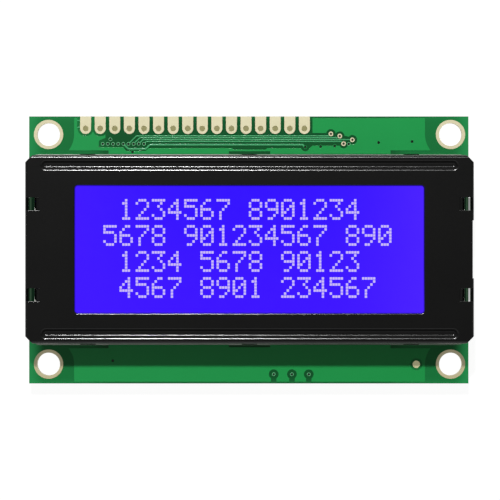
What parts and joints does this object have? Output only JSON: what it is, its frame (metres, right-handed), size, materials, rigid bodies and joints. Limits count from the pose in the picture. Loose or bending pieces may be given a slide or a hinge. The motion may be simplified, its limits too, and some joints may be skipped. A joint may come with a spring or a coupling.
{
  "type": "character lcd module",
  "caption": "Character display module: folded black bezel and blue lit window on a green board with corner holes and a row of header holes.",
  "frame": {"origin": "centre of the mounting-hole pattern on the board's rear face", "axes": "+X along the character rows to the right, +Y towards the header edge, +Z out of the display"},
  "size_m": [0.0776, 0.0465, 0.011],
  "materials": {
    "bezel_black": "satin",
    "board_green": "gloss",
    "masked_copper": "gloss",
    "gilt": "satin",
    "tin": "satin",
    "glass": "clear",
    "display_film": "gloss",
    "grey_film": "gloss",
    "cell_resin": "matte",
    "connector_rubber": "matte",
    "tray_white": "matte",
    "guide_clear": "gloss",
    "lamp_resin": "satin",
    "black_epoxy": "gloss",
    "resistor_black": "satin",
    "capacitor_tan": "matte"
  },
  "bodies": {
    "root": {"bezel": "bezel_black", "board": "board_green", "mounting_hole_plating": "gilt", "bare_header_pads": "gilt", "masked_vias": "masked_copper", "bare_vias": "gilt", "test_pad": "gilt", "front_copper_pours": "masked_copper", "front_traces": "masked_copper", "contact_lands": "gilt", "front_polarizer": "display_film", "front_glass": "glass", "cell_seal": "cell_resin", "fill_port_plug": "cell_resin", "rear_glass": "glass", "rear_polarizer": "grey_film", "upper_zebra_strip": "connector_rubber", "lower_zebra_strip": "connector_rubber", "backlight_tray": "tray_white", "reflector_sheet": "tray_white", "light_guide": "guide_clear", "diffuser_sheet": "tray_white", "lamp_board": "tray_white", "lamps": "lamp_resin", "backlight_leads": "tin", "lead_hole_plating": "gilt", "lead_solder": "tin", "controller_dome": "black_epoxy", "left_driver_dome": "black_epoxy", "right_driver_dome": "black_epoxy", "chip_resistors": "resistor_black", "resistor_ends": "tin", "chip_capacitors": "capacitor_tan", "capacitor_ends": "tin", "solder_jumpers": "gilt", "rear_traces": "masked_copper", "rear_copper_pours": "masked_copper"}
  },
  "joints": []
}
